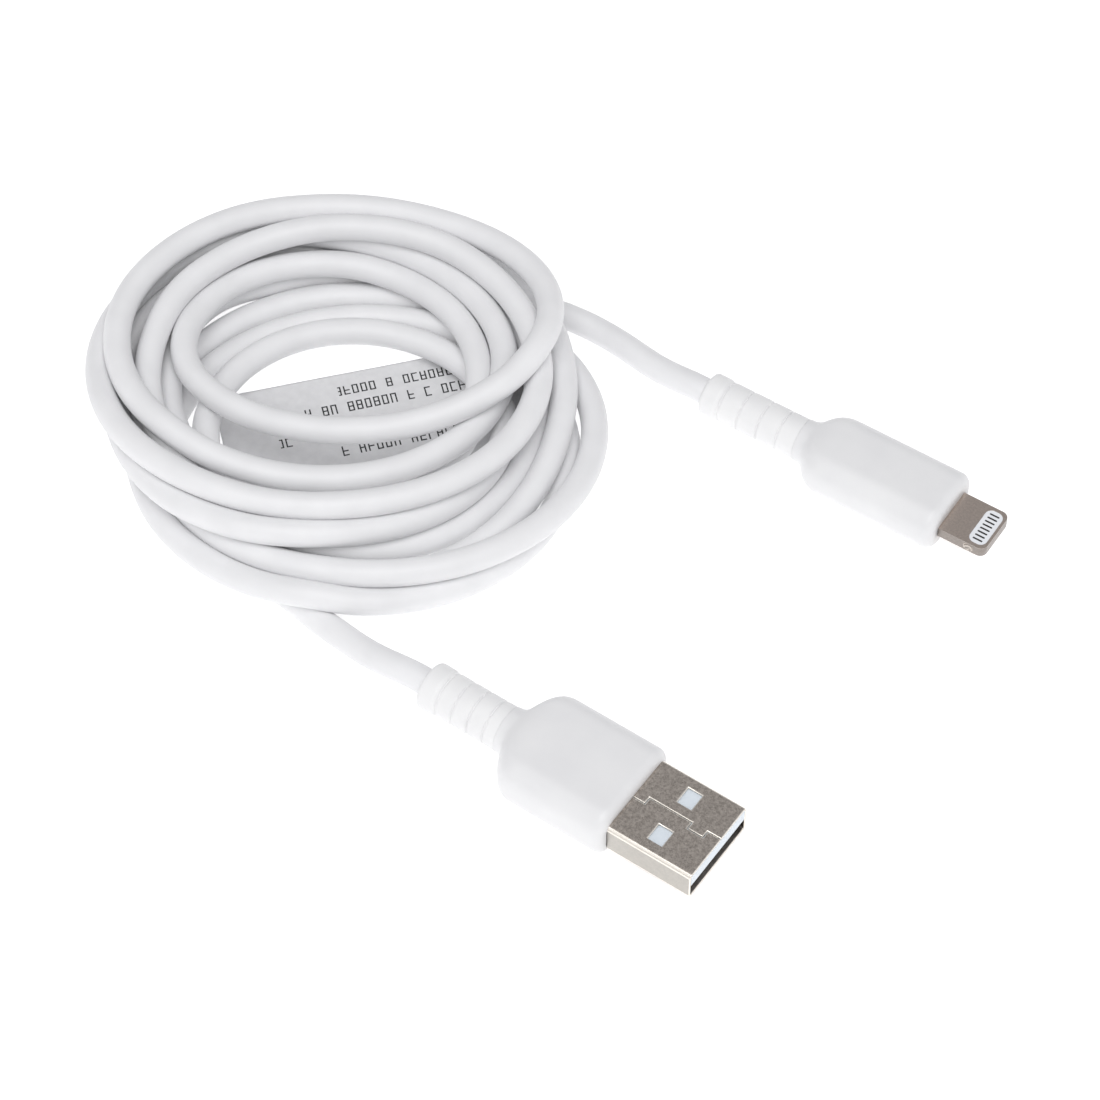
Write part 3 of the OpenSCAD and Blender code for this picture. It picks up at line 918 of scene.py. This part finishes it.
a, b = label_rows()
top = label_height(a, b) + PAPER / 2
sheet_xy = label_middle + a[..., None] * along_label + b[..., None] * across_label
upper = np.dstack([sheet_xy, top])
lower = np.dstack([sheet_xy, top - PAPER])
count = LABEL_ROWS * LABEL_COLUMNS
row, column = np.meshgrid(np.arange(LABEL_ROWS - 1), np.arange(LABEL_COLUMNS - 1), indexing="ij")
corner = row * LABEL_COLUMNS + column
quad = np.stack([corner, corner + LABEL_COLUMNS, corner + LABEL_COLUMNS + 1, corner + 1], -1)
quad = quad.reshape(-1, 4)
number = np.arange(count).reshape(LABEL_ROWS, LABEL_COLUMNS)
rim = np.r_[number[:, 0], number[-1, 1:], number[-2::-1, -1], number[0, -2:0:-1]]
after = np.roll(rim, -1)
edge = np.stack([rim + count, after + count, after, rim], axis=-1)
faces = np.vstack([quad, quad[:, ::-1] + count, edge])
skins = np.vstack([upper.reshape(-1, 3), lower.reshape(-1, 3)])
label = make_piece("paper_label", skins * MM, faces)
uv_map = label.data.uv_layers.new(name="sheet")
flat = np.column_stack([np.tile(a.ravel(), 2), np.tile(b.ravel(), 2)]) / 1000
corner_of_loop = np.zeros(len(label.data.loops), np.int32)
label.data.loops.foreach_get("vertex_index", corner_of_loop)
uv_map.data.foreach_set("uv", flat[corner_of_loop].astype(np.float32).ravel())
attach(label, "cord")
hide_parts("flag_label")

# %% [markdown]
# ## The label's marks
#
# A real label has rows of print. Marks cut from geometry would be far too small to mesh,
# so the finish draws them on the sheet's own map, in ink. Each cell of a row tosses a
# chance for every stroke, in the way of a segment display, and spells nothing.

# %% Helpers: arithmetic in a finish
def calc(tree, operation, *values):
    """The result of one operation on sockets or plain numbers."""
    node = tree.nodes.new("ShaderNodeMath")
    node.operation = operation
    for k, value in enumerate(values):
        if isinstance(value, (int, float)):
            node.inputs[k].default_value = value
        else:
            link(tree, value, node.inputs[k])
    return node.outputs["Value"]


def between(tree, value, low, high):
    """One where the value lies between low and high, else nothing."""
    over = calc(tree, "GREATER_THAN", value, low)
    return calc(tree, "MULTIPLY", over, calc(tree, "LESS_THAN", value, high))


def any_of(tree, *values):
    """The largest of the values."""
    total = values[0]
    for value in values[1:]:
        total = calc(tree, "MAXIMUM", total, value)
    return total


def when(tree, value, chance, low, high):
    """The value where the tossed chance lies between low and high."""
    return calc(tree, "MULTIPLY", value, between(tree, chance, low, high))


# %% Label paper and its plain marks
paper, parts = finish(
    "label_paper", (0.68, 0.68, 0.69), (0.74, 0.74, 0.75), 900, (0.5, 0.6), bump=0.3,
)
tree = parts["tree"]
sheet = tree.nodes.new("ShaderNodeUVMap")
sheet.uv_map = "sheet"
split = tree.nodes.new("ShaderNodeSeparateXYZ")
link(tree, sheet.outputs["UV"], split.inputs["Vector"])
along = calc(tree, "MULTIPLY", split.outputs["X"], 1000.0)
across = calc(tree, "MULTIPLY", split.outputs["Y"], 1000.0)
MARK_PITCH = 1.12
MARK_ROWS = ((6.2, 0.72, -4.0), (3.5, 0.78, -9.2), (-0.4, 0.72, -13.0), (-3.4, 0.8, -7.8))
column = calc(tree, "DIVIDE", along, MARK_PITCH)
within = calc(tree, "FRACT", column)
RIGHT_END = 14.5
ROW_SEED = 31.7
ink = 0.0
for middle, half, start in MARK_ROWS:
    number = calc(tree, "ADD", calc(tree, "FLOOR", column), ROW_SEED * middle)
    chance = tree.nodes.new("ShaderNodeTexWhiteNoise")
    chance.noise_dimensions = "1D"
    link(tree, number, chance.inputs["W"])
    toss = tree.nodes.new("ShaderNodeSeparateXYZ")
    link(tree, chance.outputs["Color"], toss.inputs["Vector"])
    one, two, three = toss.outputs
    height = calc(tree, "DIVIDE", calc(tree, "SUBTRACT", across, middle), half)
    left = between(tree, within, 0.08, 0.25)
    right = when(tree, between(tree, within, 0.62, 0.79), one, 0.4, 2)
    top = when(tree, between(tree, height, 0.74, 1.0), two, 0.35, 2)
    foot = when(tree, between(tree, height, -1.0, -0.74), three, 0.35, 2)
    belt = when(tree, between(tree, height, -0.13, 0.13), two, -1, 0.6)
    upright = when(tree, any_of(tree, left, right), height, -1.0, 1.0)
    level = when(tree, any_of(tree, top, foot, belt), within, 0.08, 0.79)
    mark = when(tree, any_of(tree, upright, level), along, start, RIGHT_END)
    mark = when(tree, mark, chance.outputs["Value"], 0.14, 2)
    ink = calc(tree, "MAXIMUM", mark, ink)
facing = tree.nodes.new("ShaderNodeNewGeometry")
up = tree.nodes.new("ShaderNodeSeparateXYZ")
link(tree, facing.outputs["Normal"], up.inputs["Vector"])
ink = when(tree, ink, up.outputs["Z"], 0.5, 2)
printed = tree.nodes.new("ShaderNodeMix")
printed.data_type = "RGBA"
printed.inputs[7].default_value = (0.02, 0.02, 0.022, 1)
link(tree, ink, printed.inputs[0])
link(tree, parts["ramp"].outputs["Color"], printed.inputs[6])
link(tree, printed.outputs[2], parts["shader"].inputs["Base Color"])
coat_with(label, paper)
print("label:", len(label.data.polygons), "faces,", len(tree.nodes), "nodes in its finish")

# %% [markdown]
# ## Which pieces the cord carries
#
# The cord leaves the USB-A plug's sleeve, and the blade plug hangs on its far end. The
# pieces on that far end are gathered in a list.

far_end = [blade_housing, blade, *sleeves["blade"]]
far_end += [nodes[n] for n in slot_of if n.startswith("blade_")]
print("on the far end:", len(far_end), "pieces")

# %% [markdown]
# ## Floor and light
#
# The floor is a plain, nearly white sheet. A wide soft light overhead does most of the
# work, and three weaker ones at the front, left and right keep the sides of the cord from
# falling dark. A grey world is something darker for the metal to mirror.

# %% Floor
FLOOR_HALF = 3.0
FLOOR_DROP = 0.00002
floor = make_piece(
    "floor",
    np.array([[-1, -1, 0], [1, -1, 0], [1, 1, 0], [-1, 1, 0]]) * FLOOR_HALF - [0, 0, FLOOR_DROP],
    [[0, 1, 2, 3]],
    smooth=False,
)
floor_paint, parts = finish(
    "floor", (0.90, 0.90, 0.90), (0.92, 0.92, 0.92), 3, (0.8, 0.9), bump=0,
)
parts["shader"].inputs["Emission Color"].default_value = (1, 1, 1, 1)
parts["shader"].inputs["Emission Strength"].default_value = 0.48
coat_with(floor, floor_paint)

# %% Lights and world
def softbox(name, turn, rise, reach, size, power):
    """A square light that looks at the aim point from a turn and a rise in degrees."""
    t, r = math.radians(turn), math.radians(rise)
    place = np.array([math.sin(t) * math.cos(r), -math.cos(t) * math.cos(r), math.sin(r)])
    lamp = bpy.data.objects.new(name, bpy.data.lights.new(name, "AREA"))
    lamp.data.size = size
    lamp.data.energy = power
    lamp.location = AIM + place * reach
    lamp.rotation_euler = (math.pi / 2 - r, 0, t)
    bpy.context.scene.collection.objects.link(lamp)
    return lamp


softbox("overhead", turn=35, rise=68, reach=0.9, size=0.7, power=4.6)
softbox("front", turn=-20, rise=33, reach=1.0, size=0.5, power=0.7)
softbox("left", turn=-80, rise=45, reach=1.0, size=0.6, power=0.45)
softbox("right", turn=115, rise=22, reach=0.8, size=0.4, power=0.55)
world = bpy.data.worlds.new("studio")
world.use_nodes = True
world.node_tree.nodes["Background"].inputs["Color"].default_value = (0.40, 0.40, 0.41, 1)
world.node_tree.nodes["Background"].inputs["Strength"].default_value = 1.0
bpy.context.scene.world = world
bpy.context.scene.view_settings.view_transform = "Standard"
